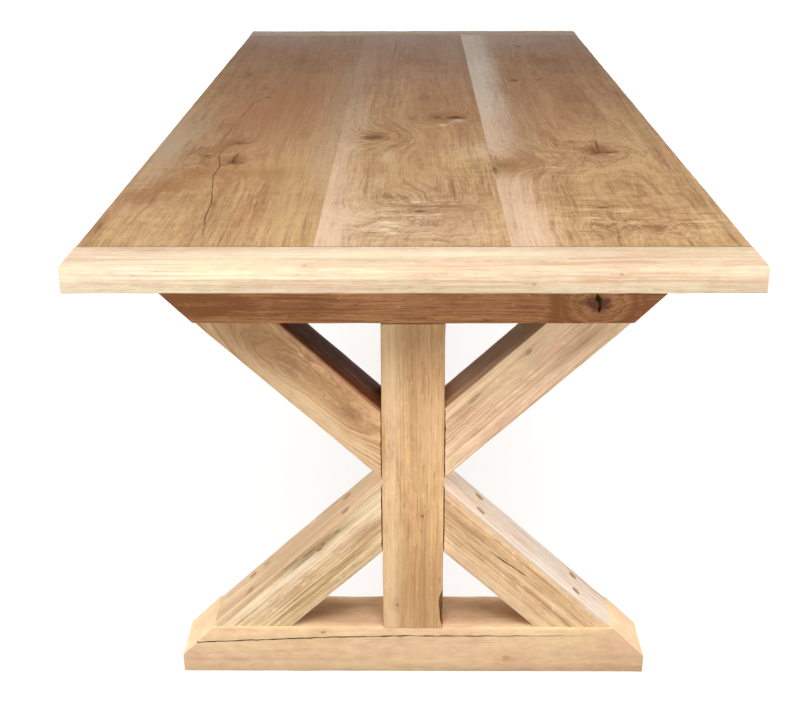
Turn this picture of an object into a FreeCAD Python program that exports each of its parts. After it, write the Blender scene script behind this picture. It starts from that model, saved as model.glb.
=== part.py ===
import FreeCAD, Part
import math
import os

# Oak sawbuck dining table, in millimetres. The table's length runs along Y with the front end at -Y,
# its width along X, and Z points up from the floor. The origin is the middle of the table on the floor.

# Tabletop
table_length = 2400.0
table_width = 1000.0
table_height = 760.0
top_thickness = 40.0
left_plank_width = 353.0
right_plank_width = 355.0
breadboard_width = 98.0
top_edge_ease = 2.5

# Loose tongues in the two long seams of the tabletop
spline_thickness = 8.0
spline_width = 24.0
spline_end_stop = 45.0

# Tongue and tenons on the plank ends, housed in the breadboards
tongue_thickness = 13.0
tongue_length = 18.0
tongue_stop = 32.0
plank_tenon_width = 95.0
plank_tenon_length = 62.0
plank_movement = 3.0
breadboard_peg_diameter = 10.0
breadboard_peg_cover = 9.0

# Trestles
end_overhang = 115.0
trestle_depth = 100.0
beam_length = 780.0
beam_height = 88.0
beam_bevel = 55.0
foot_length = 780.0
foot_height = 88.0
foot_bevel = 55.0
post_width = 100.0
post_tenon_width = 68.0
post_tenon_thickness = 34.0
post_tenon_length = 52.0
brace_width = 90.0
brace_recess = 4.0
brace_tip_gap = 12.0
arris = 2.5

# Plugged screws in the braces
brace_screw_inset = 61.0
brace_screw_spacing = 48.0
brace_screw_grip = 34.0
brace_screw_point_gap = 8.0
brace_screw_diameter = 6.0
brace_screw_head_diameter = 11.0
screw_head_height = 4.0
screw_point_length = 9.0
screw_tip_diameter = 1.5

# Screws and washers that hold the tabletop on the beams
top_screw_end_inset = 28.0
top_screw_seam_inset = 42.0
top_screw_side_cover = 7.0
top_screw_grip = 40.0
top_screw_cover = 12.0
top_screw_diameter = 6.0
top_screw_head_diameter = 12.0
top_screw_slot = 12.0
washer_diameter = 20.0
washer_thickness = 2.0

# Stretcher
stretcher_width = 70.0
stretcher_height = 92.0
stretcher_tenon_width = 30.0
stretcher_tenon_height = 72.0
stretcher_tenon_length = 60.0
stretcher_peg_diameter = 12.0
stretcher_peg_spacing = 44.0

# Fits
joint_clearance = 0.2
mortise_end_gap = 2.0
hole_clearance = 0.1
head_clearance = 0.5
washer_clearance = 1.0

# Round pieces are drawn with flat sides, with their corners on the true circle
rod_sides = 12
shank_sides = 8
head_sides = 6

# Places worked out from the sizes above
half_length = table_length / 2
half_width = table_width / 2
top_underside = table_height - top_thickness
top_middle = table_height - top_thickness / 2
shoulder = half_length - breadboard_width
left_seam = left_plank_width - half_width
right_seam = half_width - right_plank_width
beam_underside = top_underside - beam_height
half_depth = trestle_depth / 2
half_post = post_width / 2
trestle_centre = half_length - end_overhang - half_depth
post_inner_face = trestle_centre - half_depth
crossing_height = (foot_height + beam_underside) / 2
brace_screw_bite = half_post - brace_screw_point_gap
plug_diameter = brace_screw_head_diameter + 2 * head_clearance
counterbore_diameter = washer_diameter + 2 * washer_clearance
top_screw_stagger = half_depth - top_screw_side_cover - counterbore_diameter / 2
top_screw_seat = top_underside - top_screw_grip

UP = FreeCAD.Vector(0, 0, 1)
ALONG = FreeCAD.Vector(0, 1, 0)
ACROSS = FreeCAD.Vector(1, 0, 0)

# Each end of the table: its name and the way that points out of the table along Y
ENDS = {"front": -1, "rear": 1}
SIDES = {"left": -1, "right": 1}


def block(x_range, y_range, z_range):
    """Box between two places along each axis, given in either order."""
    low = FreeCAD.Vector(min(x_range), min(y_range), min(z_range))
    high = FreeCAD.Vector(max(x_range), max(y_range), max(z_range))
    return Part.makeBox(high.x - low.x, high.y - low.y, high.z - low.z, low)


def spread(middle, size):
    """The two ends of a size set about its middle."""
    return (middle - size / 2, middle + size / 2)


def ring(diameter, sides, height=0):
    """Closed outline of flat sides about the Z axis."""
    points = []
    for index in range(sides):
        turn = 2 * math.pi * index / sides
        points.append(FreeCAD.Vector(math.cos(turn), math.sin(turn), 0) * (diameter / 2) + UP * height)
    return Part.makePolygon(points + points[:1])


def stand(shape, start, direction):
    """Shape made along Z, moved to start and turned to point along direction."""
    shape.Placement = FreeCAD.Placement(start, FreeCAD.Rotation(UP, direction))
    return shape


def rod(diameter, start, direction, length, sides=rod_sides):
    return stand(Part.Face(ring(diameter, sides)).extrude(UP * length), start, direction)


def slot(diameter, start, height, travel):
    """Upright hole drawn out by travel along the width of the table."""
    shift = ACROSS * (travel / 2)
    ends = [rod(diameter, start - shift, UP, height), rod(diameter, start + shift, UP, height)]
    middle = block(spread(start.x, travel), spread(start.y, diameter), (start.z, start.z + height))
    return middle.fuse(ends)


def prism(outline, centre_y, depth):
    """Outline of (x, z) points, drawn out along the table by depth about centre_y."""
    start = centre_y - depth / 2
    points = [FreeCAD.Vector(x, start, z) for x, z in outline]
    face = Part.Face(Part.makePolygon(points + points[:1]))
    return face.extrude(ALONG * depth)


def edges_along(solid, direction):
    """Straight edges that run along a direction, either way."""
    chosen = []
    for edge in solid.Edges:
        run = edge.Vertexes[-1].Point - edge.Vertexes[0].Point
        if run.Length > 0 and abs(run.normalize().dot(direction)) > 0.9999:
            chosen.append(edge)
    return chosen


def face_edges(solid, normal):
    """Edges that bound the two faces square to a normal."""
    chosen = []
    for edge in solid.Edges:
        run = edge.Vertexes[-1].Point - edge.Vertexes[0].Point
        if abs(run.normalize().dot(normal)) < 0.0001:
            chosen.append(edge)
    return chosen


def screw(seat, direction, shank_diameter, head_diameter, length):
    """Hex-head wood screw whose head bears at seat and whose point lies length along direction."""
    neck = length - screw_point_length
    head = Part.Face(ring(head_diameter, head_sides, -screw_head_height)).extrude(UP * screw_head_height)
    shank = Part.Face(ring(shank_diameter, shank_sides)).extrude(UP * neck)
    point_rings = [ring(shank_diameter, shank_sides, neck), ring(screw_tip_diameter, shank_sides, length)]
    point = Part.makeLoft(point_rings, True, True)
    return stand(head.fuse([shank, point]).removeSplitter(), seat, direction)


# Tabletop

# Each plank: its two long edges and the part of its ends that carries the tongue
PLANKS = {
    "left": ((-half_width, left_seam), (-half_width + tongue_stop, left_seam)),
    "middle": ((left_seam, right_seam), (left_seam, right_seam)),
    "right": ((right_seam, half_width), (right_seam, half_width - tongue_stop)),
}
SEAMS = {"left": left_seam, "right": right_seam}


def plank_middle(name):
    return sum(PLANKS[name][0]) / 2


def peg_place(name, outward):
    """Foot of the peg through a plank's tenon, on the underside of the tabletop."""
    return FreeCAD.Vector(plank_middle(name), outward * (shoulder + plank_tenon_length / 2), top_underside)


def spline_room(seam, width, thickness, end_stop):
    return block(
        spread(seam, width), spread(0, 2 * (shoulder - end_stop)), spread(top_middle, thickness)
    )


def plank_travel(name):
    """Sideways play of a plank in the breadboards: the middle plank is held, the others may swell."""
    return 0 if name == "middle" else 2 * plank_movement


def plank(name):
    edges, tongue = PLANKS[name]
    solid = block(edges, (-shoulder, shoulder), (top_underside, table_height))
    outer = {"left": -half_width, "right": half_width}.get(name)
    if outer is not None:
        long_edges = [edge for edge in edges_along(solid, ALONG) if abs(edge.CenterOfMass.x - outer) < 0.001]
        solid = solid.makeChamfer(top_edge_ease, long_edges)
    for outward in ENDS.values():
        tongue_run = (outward * shoulder, outward * (shoulder + tongue_length))
        tenon_run = (outward * shoulder, outward * (shoulder + plank_tenon_length))
        tenon = spread(plank_middle(name), plank_tenon_width)
        level = spread(top_middle, tongue_thickness)
        solid = solid.fuse([block(tongue, tongue_run, level), block(tenon, tenon_run, level)])
        hole = breadboard_peg_diameter + 2 * hole_clearance
        place = peg_place(name, outward)
        if plank_travel(name):
            solid = solid.cut(slot(hole, place, top_thickness, plank_travel(name)))
        else:
            solid = solid.cut(rod(hole, place, UP, top_thickness))
    grooves = [
        spline_room(
            seam,
            spline_width + 2 * joint_clearance,
            spline_thickness + 2 * joint_clearance,
            spline_end_stop - mortise_end_gap,
        )
        for seam in SEAMS.values()
        if seam in edges
    ]
    pilots = [pilot for place, pilot in top_screw_pilots() if edges[0] < place < edges[1]]
    return solid.cut(grooves + pilots)


def breadboard(outward):
    ends = (outward * shoulder, outward * half_length)
    solid = block((-half_width, half_width), ends, (top_underside, table_height))
    inner_face = outward * shoulder
    outer_edges = []
    for edge in solid.Edges:
        middle = edge.CenterOfMass
        on_joint = abs(middle.y - inner_face) < 0.001
        if not on_joint:
            outer_edges.append(edge)
    solid = solid.makeChamfer(top_edge_ease, outer_edges)
    level = spread(top_middle, tongue_thickness + 2 * joint_clearance)
    groove_stop = tongue_stop - plank_movement
    groove_run = (inner_face, outward * (shoulder + tongue_length + mortise_end_gap))
    tools = [block((groove_stop - half_width, half_width - groove_stop), groove_run, level)]
    mortise_run = (inner_face, outward * (shoulder + plank_tenon_length + mortise_end_gap))
    for name in PLANKS:
        width = plank_tenon_width + 2 * joint_clearance + plank_travel(name)
        tools.append(block(spread(plank_middle(name), width), mortise_run, level))
        hole_height = top_thickness - breadboard_peg_cover + mortise_end_gap
        hole = breadboard_peg_diameter + 2 * hole_clearance
        tools.append(rod(hole, peg_place(name, outward), UP, hole_height))
    return solid.cut(tools)


def breadboard_pegs(outward):
    height = top_thickness - breadboard_peg_cover
    return [rod(breadboard_peg_diameter, peg_place(name, outward), UP, height) for name in PLANKS]


# Beams, feet and posts

# Each level of braces: half-length of its bearing face, that face's height, and the way up from it
LEVELS = {
    "lower": (foot_length / 2 - foot_bevel, foot_height, 1),
    "upper": (beam_length / 2 - beam_bevel, beam_underside, -1),
}


def beam_outline(length, height, bevel, base, way):
    """Timber with bevelled ends: its long face at base, its bearing face at height in the given way."""
    long_half = length / 2
    short_half = long_half - bevel
    step = base + way * (height - bevel)
    bearing = base + way * height
    return [
        (-long_half, base),
        (long_half, base),
        (long_half, step),
        (short_half, bearing),
        (-short_half, bearing),
        (-long_half, step),
    ]


def post_tenon_room(bearing, way, centre_y, gap, end_gap):
    """Tenon of the post, beyond a bearing face, grown by the gaps of its mortise."""
    return block(
        spread(0, post_tenon_width + 2 * gap),
        spread(centre_y, post_tenon_thickness + 2 * gap),
        (bearing, bearing - way * (post_tenon_length + end_gap)),
    )


def bearing_timber(level, outline, centre_y):
    """Beam or foot: bevelled timber with the post's mortise and the pilot holes of the brace screws."""
    solid = prism(outline, centre_y, trestle_depth)
    solid = solid.makeChamfer(arris, face_edges(solid, ALONG))
    reach, bearing, way = LEVELS[level]
    tools = [post_tenon_room(bearing, way, centre_y, joint_clearance, mortise_end_gap)]
    for side in SIDES.values():
        for screw_place in brace_screw_places(level, side, centre_y):
            tools.append(brace_pilot(screw_place))
    return solid.cut(tools)


def foot(centre_y):
    outline = beam_outline(foot_length, foot_height, foot_bevel, 0, 1)
    return bearing_timber("lower", outline, centre_y)


def top_beam(centre_y):
    outline = beam_outline(beam_length, beam_height, beam_bevel, top_underside, -1)
    solid = bearing_timber("upper", outline, centre_y)
    tools = []
    hole = top_screw_diameter + 2 * hole_clearance
    for place in top_screw_places(centre_y):
        tools.append(rod(counterbore_diameter, place, -UP, beam_height))
        if in_middle_plank(place):
            tools.append(rod(hole, place, UP, top_screw_grip, shank_sides))
        else:
            tools.append(slot(hole, place, top_screw_grip, top_screw_slot))
    return solid.cut(tools)


def post(centre_y, outward):
    solid = block(spread(0, post_width), spread(centre_y, trestle_depth), (foot_height, beam_underside))
    solid = solid.makeChamfer(arris, edges_along(solid, UP))
    tenons = [post_tenon_room(bearing, way, centre_y, 0, 0) for reach, bearing, way in LEVELS.values()]
    solid = solid.fuse(tenons)
    tools = [stretcher_tenon_room(outward, joint_clearance, mortise_end_gap)]
    for peg in stretcher_peg_places(outward):
        tools.append(rod(stretcher_peg_diameter + 2 * hole_clearance, peg, ACROSS, post_width))
    for level in LEVELS:
        for side in SIDES.values():
            for screw_place in brace_screw_places(level, side, centre_y):
                tools.append(brace_pilot(screw_place))
    return solid.cut(tools)


# Braces with their plugged screws


def brace_slope(level):
    """Angle of a brace above its bearing face, from the bearing face's end to the crossing."""
    reach = LEVELS[level][0]
    return math.atan2(brace_rise(), reach - half_post)


def brace_rise():
    return (beam_underside - foot_height - brace_tip_gap) / 2


def brace_outline(level, side):
    """Brace mitred to lie flat on its bearing face and against the side of the post."""
    reach, bearing, way = LEVELS[level]
    slope = brace_slope(level)
    bearing_cut = brace_width / math.sin(slope)
    post_cut = brace_width / math.cos(slope)
    outline = [
        (reach, 0),
        (half_post, brace_rise()),
        (half_post, brace_rise() - post_cut),
        (reach - bearing_cut, 0),
    ]
    return [(side * x, bearing + way * height) for x, height in outline]


def brace_screw_places(level, side, centre_y):
    """Where each screw of a brace crosses the joint face, and the way that it is driven."""
    reach, bearing, way = LEVELS[level]
    height = brace_rise() - brace_screw_inset * math.tan(brace_slope(level))
    crossings = [
        (side * half_post, bearing + way * height, ACROSS * -side),
        (side * (reach - brace_screw_inset), bearing, UP * -way),
    ]
    places = []
    for x, z, driven in crossings:
        for y in spread(centre_y, brace_screw_spacing):
            places.append((FreeCAD.Vector(x, y, z), driven))
    return places


def brace_pilot(screw_place):
    """Hole for a brace screw's shank, from its head's seat to just past its point."""
    crossing, driven = screw_place
    seat = crossing - driven * brace_screw_grip
    length = brace_screw_grip + brace_screw_bite + mortise_end_gap
    return rod(brace_screw_diameter + 2 * hole_clearance, seat, driven, length, shank_sides)


def plug_rod(screw_place, diameter, lift):
    """Rod from lift above a brace screw's seat out past the brace's outer face."""
    crossing, driven = screw_place
    start = crossing - driven * (brace_screw_grip + lift)
    return rod(diameter, start, -driven, 2 * brace_screw_inset)


def brace_blank(level, side, centre_y):
    return prism(brace_outline(level, side), centre_y, trestle_depth - 2 * brace_recess)


def brace(level, side, centre_y):
    solid = brace_blank(level, side, centre_y)
    slope = brace_slope(level)
    way = LEVELS[level][2]
    run = FreeCAD.Vector(-side * math.cos(slope), 0, way * math.sin(slope))
    solid = solid.makeChamfer(arris, edges_along(solid, run))
    tools = []
    for screw_place in brace_screw_places(level, side, centre_y):
        tools.append(brace_pilot(screw_place))
        tools.append(plug_rod(screw_place, plug_diameter + 2 * hole_clearance, 0))
    return solid.cut(tools)


def brace_screws(centre_y):
    solids = []
    for level in LEVELS:
        for side in SIDES.values():
            for crossing, driven in brace_screw_places(level, side, centre_y):
                seat = crossing - driven * brace_screw_grip
                length = brace_screw_grip + brace_screw_bite
                solids.append(
                    screw(seat, driven, brace_screw_diameter, brace_screw_head_diameter, length)
                )
    return solids


def brace_plugs(centre_y):
    """Wooden plugs over the brace screws, trimmed flush with the braces' sloping faces."""
    solids = []
    for level in LEVELS:
        for side in SIDES.values():
            blank = brace_blank(level, side, centre_y)
            for screw_place in brace_screw_places(level, side, centre_y):
                plug = plug_rod(screw_place, plug_diameter, screw_head_height).common(blank)
                solids.append(plug.Solids[0])
    return solids


# Screws from the beams up into the tabletop


def top_screw_places(centre_y):
    """Seats of the washers in a beam, staggered to either side of its middle."""
    end_place = beam_length / 2 - top_screw_end_inset
    places = []
    inner_places = (left_seam + top_screw_seam_inset, right_seam - top_screw_seam_inset)
    stagger = top_screw_stagger
    for x in (-end_place, *inner_places, end_place):
        places.append(FreeCAD.Vector(x, centre_y + stagger, top_screw_seat))
        stagger = -stagger
    return places


def in_middle_plank(place):
    return left_seam < place.x < right_seam


def top_screw_length():
    """From the seat in the beam to the screw's point, which stays below the tabletop's face."""
    return top_screw_grip + top_thickness - top_screw_cover


def top_screw_pilots():
    """Each hole in the tabletop's underside for a beam's screw, after its place across the table."""
    hole = top_screw_diameter + 2 * hole_clearance
    pilots = []
    for outward in ENDS.values():
        for place in top_screw_places(outward * trestle_centre):
            length = top_screw_length() + mortise_end_gap
            pilots.append((place.x, rod(hole, place, UP, length, shank_sides)))
    return pilots


def top_screws(centre_y):
    solids = []
    for place in top_screw_places(centre_y):
        seat = place - UP * washer_thickness
        length = top_screw_length() + washer_thickness
        solids.append(screw(seat, UP, top_screw_diameter, top_screw_head_diameter, length))
    return solids


def top_washers(centre_y):
    hole = top_screw_diameter + 2 * hole_clearance
    solids = []
    for place in top_screw_places(centre_y):
        disc = rod(washer_diameter, place, -UP, washer_thickness)
        solids.append(disc.cut(rod(hole, place, -UP, washer_thickness, shank_sides)))
    return solids


# Stretcher


def stretcher_tenon_room(outward, gap, end_gap):
    """Tenon of the stretcher in a post's inner face, grown by the gaps of its mortise."""
    return block(
        spread(0, stretcher_tenon_width + 2 * gap),
        (outward * post_inner_face, outward * (post_inner_face + stretcher_tenon_length + end_gap)),
        spread(crossing_height, stretcher_tenon_height + 2 * gap),
    )


def stretcher_peg_places(outward):
    """Left end of each peg through a post and the stretcher's tenon."""
    y = outward * (post_inner_face + stretcher_tenon_length / 2)
    return [FreeCAD.Vector(-half_post, y, z) for z in spread(crossing_height, stretcher_peg_spacing)]


def stretcher():
    solid = block(
        spread(0, stretcher_width),
        (-post_inner_face, post_inner_face),
        spread(crossing_height, stretcher_height),
    )
    solid = solid.makeChamfer(arris, edges_along(solid, ALONG))
    for outward in ENDS.values():
        solid = solid.fuse(stretcher_tenon_room(outward, 0, 0))
        for peg in stretcher_peg_places(outward):
            solid = solid.cut(rod(stretcher_peg_diameter + 2 * hole_clearance, peg, ACROSS, post_width))
    return solid


def stretcher_pegs(outward):
    return [rod(stretcher_peg_diameter, peg, ACROSS, post_width) for peg in stretcher_peg_places(outward)]


# Assembly


def assemble():
    """Every node of the table by name, each as a list of its solids."""
    nodes = {}
    for name in PLANKS:
        nodes[f"top_plank_{name}"] = [plank(name)]
    for name, seam in SEAMS.items():
        nodes[f"plank_spline_{name}"] = [spline_room(seam, spline_width, spline_thickness, spline_end_stop)]
    for end, outward in ENDS.items():
        centre_y = outward * trestle_centre
        nodes[f"breadboard_{end}"] = [breadboard(outward)]
        nodes[f"breadboard_pegs_{end}"] = breadboard_pegs(outward)
        nodes[f"{end}_foot"] = [foot(centre_y)]
        nodes[f"{end}_post"] = [post(centre_y, outward)]
        nodes[f"{end}_top_beam"] = [top_beam(centre_y)]
        for level in LEVELS:
            for side_name, side in SIDES.items():
                nodes[f"{end}_brace_{level}_{side_name}"] = [brace(level, side, centre_y)]
        nodes[f"{end}_brace_screws"] = brace_screws(centre_y)
        nodes[f"{end}_brace_plugs"] = brace_plugs(centre_y)
        nodes[f"{end}_top_screws"] = top_screws(centre_y)
        nodes[f"{end}_top_washers"] = top_washers(centre_y)
        nodes[f"{end}_stretcher_pegs"] = stretcher_pegs(outward)
    nodes["stretcher"] = [stretcher()]
    return nodes


os.makedirs("parts", exist_ok=True)
for name, solids in assemble().items():
    shape = solids[0] if len(solids) == 1 else Part.makeCompound(solids)
    shape.exportStep(f"parts/{name}.step")
    print(name, len(solids), "solids", round(shape.Volume / 1000, 1), "cm3")
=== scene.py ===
import math

import bmesh
import bpy
from mathutils import Matrix, Vector, noise


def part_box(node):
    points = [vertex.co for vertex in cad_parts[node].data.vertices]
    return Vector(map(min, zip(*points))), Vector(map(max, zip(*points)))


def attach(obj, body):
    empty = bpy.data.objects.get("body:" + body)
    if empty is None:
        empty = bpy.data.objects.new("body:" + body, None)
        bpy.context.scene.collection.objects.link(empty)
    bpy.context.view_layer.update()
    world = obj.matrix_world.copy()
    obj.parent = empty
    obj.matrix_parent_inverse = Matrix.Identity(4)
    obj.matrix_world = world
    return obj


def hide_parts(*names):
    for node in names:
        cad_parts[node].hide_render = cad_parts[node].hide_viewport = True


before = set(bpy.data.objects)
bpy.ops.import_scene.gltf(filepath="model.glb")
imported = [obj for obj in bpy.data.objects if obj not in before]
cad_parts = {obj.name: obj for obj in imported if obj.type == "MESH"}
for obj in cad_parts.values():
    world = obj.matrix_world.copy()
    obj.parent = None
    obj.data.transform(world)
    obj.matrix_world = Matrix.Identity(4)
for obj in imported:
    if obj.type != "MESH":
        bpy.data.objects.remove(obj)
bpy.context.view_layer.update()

# Everything is in metres and degrees; places on timbers are given in millimetres and scaled by mm
mm = 0.001
RIGHT = Vector((1, 0, 0))
BACK = Vector((0, 1, 0))
UP = Vector((0, 0, 1))

# Camera, found from the tabletop's corners in the picture
picture_width = 800
focal_pixels = 1290
sensor_width = 36
eye = Vector((0, -2.925, 1.318))
tilt_down = math.radians(21.88)
turn_right = math.radians(-0.62)
lean = math.radians(0.22)
view_depth = 200

# Timber shaping
seam_ease = 0.12 * mm
board_ease = 0.7 * mm
outer_ease = 2.5 * mm
arris = 2.5 * mm
slice_length = 24 * mm
most_slices = 100
hand_planed = 0.5 * mm
planing_mark_size = 160 * mm
arris_wear = 1.6 * mm
arris_wear_level = 0.35
arris_mark_size = 35 * mm
arris_reach = 1.2
smooth_below = math.radians(28)
straight = 0.999
touching = 0.01 * mm

# Trestle joinery, as in the solids
foot_bevel = 55 * mm
brace_width = 90 * mm
joint_gap = 3.6
joint_gap_depth = 6
joint_sway = 0.2
wane_rise = 40 * mm
wane_inset = 1 * mm
wane_overhang = 5 * mm
wane_radii = (12 * mm, 14 * mm, 42 * mm)
wane_lumps = 6 * mm
pin_knot = (8, 8, 1.0, 0.2, 6)
pin_rise = 33 * mm
brace_screw_inset = 61 * mm
brace_screw_spacing = 48 * mm
plug_diameter = 12 * mm
plug_ring = 0.35 * mm
plug_proud = 0.25 * mm
plug_depth = 12 * mm
plug_seat = 1 * mm
plug_spare = 20 * mm
drill_overrun = 5 * mm
plug_drill_overrun = 30 * mm
breadboard_peg_diameter = 10 * mm
breadboard_peg_mouth = 20 * mm
top_screw_end_inset = 28 * mm
top_screw_seam_inset = 42 * mm
top_screw_stagger = 32 * mm
counterbore_diameter = 22 * mm
counterbore_roof = 40 * mm

ENDS = ("front", "rear")
SIDES = {"left": -1, "right": 1}
WAYS = {"lower": 1, "upper": -1}


# Shader values and finishes


class Value:
    """One output of a shader node; arithmetic on it adds Math nodes."""

    def __init__(self, finish, socket):
        self.finish = finish
        self.socket = socket

    def other(self, output):
        """Another output of the same node."""
        return Value(self.finish, self.socket.node.outputs[output])

    def maths(self, operation, *others):
        return self.finish.maths(operation, self, *others)

    def __add__(self, other):
        return self.maths("ADD", other)

    def __sub__(self, other):
        return self.maths("SUBTRACT", other)

    def __rsub__(self, other):
        return self.finish.maths("SUBTRACT", other, self)

    def __mul__(self, other):
        return self.maths("MULTIPLY", other)

    def __truediv__(self, other):
        return self.maths("DIVIDE", other)

    __radd__ = __add__
    __rmul__ = __mul__

    def smooth(self, low, high):
        """0 below low, 1 above high, with a soft step between."""
        limits = {"Value": self, "From Min": low, "From Max": high}
        return self.finish.add("MapRange", {"interpolation_type": "SMOOTHSTEP"}, limits)


class Finish:
    """A material under construction: its nodes are added by one method."""

    def __init__(self, name, roughness):
        self.material = bpy.data.materials.new(name)
        self.material.use_nodes = True
        self.tree = self.material.node_tree
        self.shader = self.tree.nodes["Principled BSDF"]
        self.set("Roughness", roughness)

    def set(self, socket, value):
        self.feed(self.shader.inputs[socket], value)

    def feed(self, socket, value):
        if isinstance(value, Value):
            self.tree.links.new(value.socket, socket)
        else:
            socket.default_value = value

    def add(self, kind, settings, inputs, output=0):
        node = self.tree.nodes.new("ShaderNode" + kind)
        for key, value in settings.items():
            if key == "stops":
                for place, hue in value[1:-1]:
                    node.color_ramp.elements.new(place)
                for stop, (place, hue) in zip(node.color_ramp.elements, value):
                    stop.position = place
                    stop.color = hue
            else:
                setattr(node, key, value)
        for key, value in inputs.items():
            self.feed(node.inputs[key], value)
        return Value(self, node.outputs[output])

    def maths(self, operation, *values):
        return self.add("Math", {"operation": operation}, dict(enumerate(values)))

    def vector(self, x, y, z):
        return self.add("CombineXYZ", {}, {"X": x, "Y": y, "Z": z})

    def cloud(self, vector, scale, detail=2.0, roughness=0.5):
        """Soft noise from 0 to 1, with its own scale along each axis."""
        stretched = self.add("VectorMath", {"operation": "MULTIPLY"}, {0: vector, 1: scale})
        looks = {"Vector": stretched, "Scale": 1.0, "Detail": detail, "Roughness": roughness}
        return self.add("TexNoise", {}, looks)

    def mix(self, share, first, second):
        return self.add("Mix", {"data_type": "RGBA"}, {0: share, 6: first, 7: second}, 2)

    def stain(self, share, first, hue):
        """Darkens or warms a colour by a hue, keeping its figure."""
        settings = {"data_type": "RGBA", "blend_type": "MULTIPLY"}
        return self.add("Mix", settings, {0: share, 6: first, 7: hue}, 2)

    def ramp(self, value, *stops):
        return self.add("ValToRGB", {"stops": stops}, {"Fac": value})

    def bump(self, height, distance, strength):
        relief = {"Height": height, "Distance": distance, "Strength": strength}
        self.set("Normal", self.add("Bump", {}, relief))


def colour(red, green, blue):
    return (red, green, blue, 1.0)


def grey(level):
    return (level, level, level, 1.0)


class Lie:
    """How a timber lies: its middle, the direction of its grain and the direction across its shown face."""

    def __init__(self, middle, along, across):
        self.middle = middle
        self.turn = Matrix((along, across, along.cross(across))).transposed()

    def local(self, place):
        return self.turn.transposed() @ (place - self.middle)

    def matrix(self):
        return Matrix.Translation(self.middle) @ self.turn.to_4x4()


# Noise in oak: scales along the grain, across it and inward, per metre, then detail and roughness
slow_noise = ((1.3, 4.0, 4.0), 1.0)
quick_noise = ((9.0, 26.0, 26.0), 3.0, 0.6)
patch_noise = ((2.6, 9.0, 9.0), 3.0, 0.55)
blush_noise = ((5.0, 17.0, 17.0), 3.0, 0.55)
mottle_noise = ((34.0, 80.0, 80.0), 3.0, 0.6)
grit_noise = ((120.0, 160.0, 160.0), 3.0, 0.6)
band_noise = ((0.9, 55.0, 1.0), 3.0, 0.6)
line_noise = ((7.0, 240.0, 1.0), 3.0, 0.65)
fibre_noise = ((22.0, 420.0, 420.0), 4.0, 0.7)
streak_noise = ((3.4, 90.0, 90.0), 3.0, 0.6)
hair_noise = ((60.0, 1500.0, 1500.0), 2.0, 0.6)
tick_noise = ((42.0, 400.0, 400.0), 2.0, 0.6)
fleck_noise = ((60.0, 130.0, 420.0), 2.0, 0.6)
stroke_noise = ((66.0, 18.0, 18.0), 4.0, 0.68)

# Soft steps in that noise, from none to full
pore_step = (0.54, 0.74)
pore_line_step = (0.45, 0.7)
tick_step = (0.57, 0.72)
vein_line_step = (0.56, 0.68)
vein_streak_step = (0.44, 0.62)
fleck_step = (0.6, 0.78)
knot_step = (-0.3, 1.3)
pale_curl_step = (0.3, 0.45)
dark_curl_step = (0.55, 0.7)
rose_step = (0.44, 0.66)
ochre_step = (0.34, 0.56)

# How far each mark darkens the wood
mean_shade = 0.45
line_weight = 1.3
vein_weight = 0.35
streak_weight = 0.6
fibre_weight = 1.5
pore_weight = 0.3
off_line_pores = 0.35
tick_weight = 0.4
fleck_weight = 0.35
patch_weight = 0.9
mottle_weight = 0.7
stroke_weight = 0.5
wild_stroke_weight = 1.7
pale_curl_share = 0.95
dark_curl_share = 0.7

# How the grain strays, for each millimetre of wander, and how it runs about a knot
slow_stray = 5
quick_stray = 0.5
ring_taper = 0.01
thread_swirl = 0.6
stroke_swirl = 0.8
stroke_stray = 28 * mm
burr_ragged = 2.0
knot_spread = 3.0
knot_pull = 0.6
knot_turn = 0.9
knot_waver = 2.2
knot_tremor = 0.6
knot_ragged = 3.0
most_curl = 1.1
halo_share = 0.34
most_halo = 0.5
most_core = 0.9
heart_share = 0.4

# How a tint's edge strays, and how it soaks in with the figure
tint_patch = 1.1
tint_mottle = 0.8
dark_soak = 0.8
dark_soak_gain = 0.4
pale_soak = 1.35
pale_soak_loss = 0.7

# Sheen and relief
satin = 0.5
line_sheen = 0.12
fibre_sheen = 0.18
pore_sheen = 0.1
top_specular = 0.35
base_specular = 0.12
fibre_height = 0.5
pore_height = 0.7
line_height = 0.3
knot_height = 0.8
oak_relief = 0.4 * mm
oak_relief_strength = 0.3


class Patch:
    """A patch on a shown face: its place, half its length along the grain and half its width."""

    def __init__(self, place, length, width):
        self.place = place
        self.length = length * mm
        self.width = width * mm

    def reach(self, lie, along, across):
        """The square of the way from its middle, which is 1 at its edge."""
        spot = lie.local(self.place)
        ahead = (along - spot.x) / self.length
        aside = (across - spot.y) / self.width
        return ahead * ahead + aside * aside


class Knot(Patch):
    """A knot: its darkness, how it turns the grain, its depth, and how it brings out the grain."""

    def __init__(self, place, length, width, dark=0.9, swirl=1.0, depth=400, curl=1.0):
        super().__init__(place, length, width)
        self.dark = dark
        self.swirl = swirl
        self.depth = depth * mm
        self.curl = curl


class Burr(Patch):
    """A patch of wild, curly figure, with its strength."""

    def __init__(self, place, length, width, strength):
        super().__init__(place, length, width)
        self.strength = strength


class Tint(Patch):
    """A soft patch of another colour. One that lies over the sapwood is laid on after it."""

    def __init__(self, place, length, width, share, hue, over=False):
        super().__init__(place, length, width)
        self.share = share
        self.hue = colour(*hue)
        self.over = over


class Tone:
    """Colours of a run of oak, in linear light."""

    def __init__(self, light, middle, deep, knot):
        self.light = colour(*light)
        self.middle = colour(*middle)
        self.deep = colour(*deep)
        self.knot = colour(*knot)
        self.heart = colour(*(part * heart_share for part in knot[:3]))

    def toward(self, red, green, blue):
        """The same oak with each light scaled: another tree's tone, and for the beams and the far board
        also painted shade.
        """
        shifted = []
        for hue in (self.light, self.middle, self.deep, self.knot):
            shifted.append((hue[0] * red, hue[1] * green, hue[2] * blue))
        return Tone(*shifted)


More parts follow.
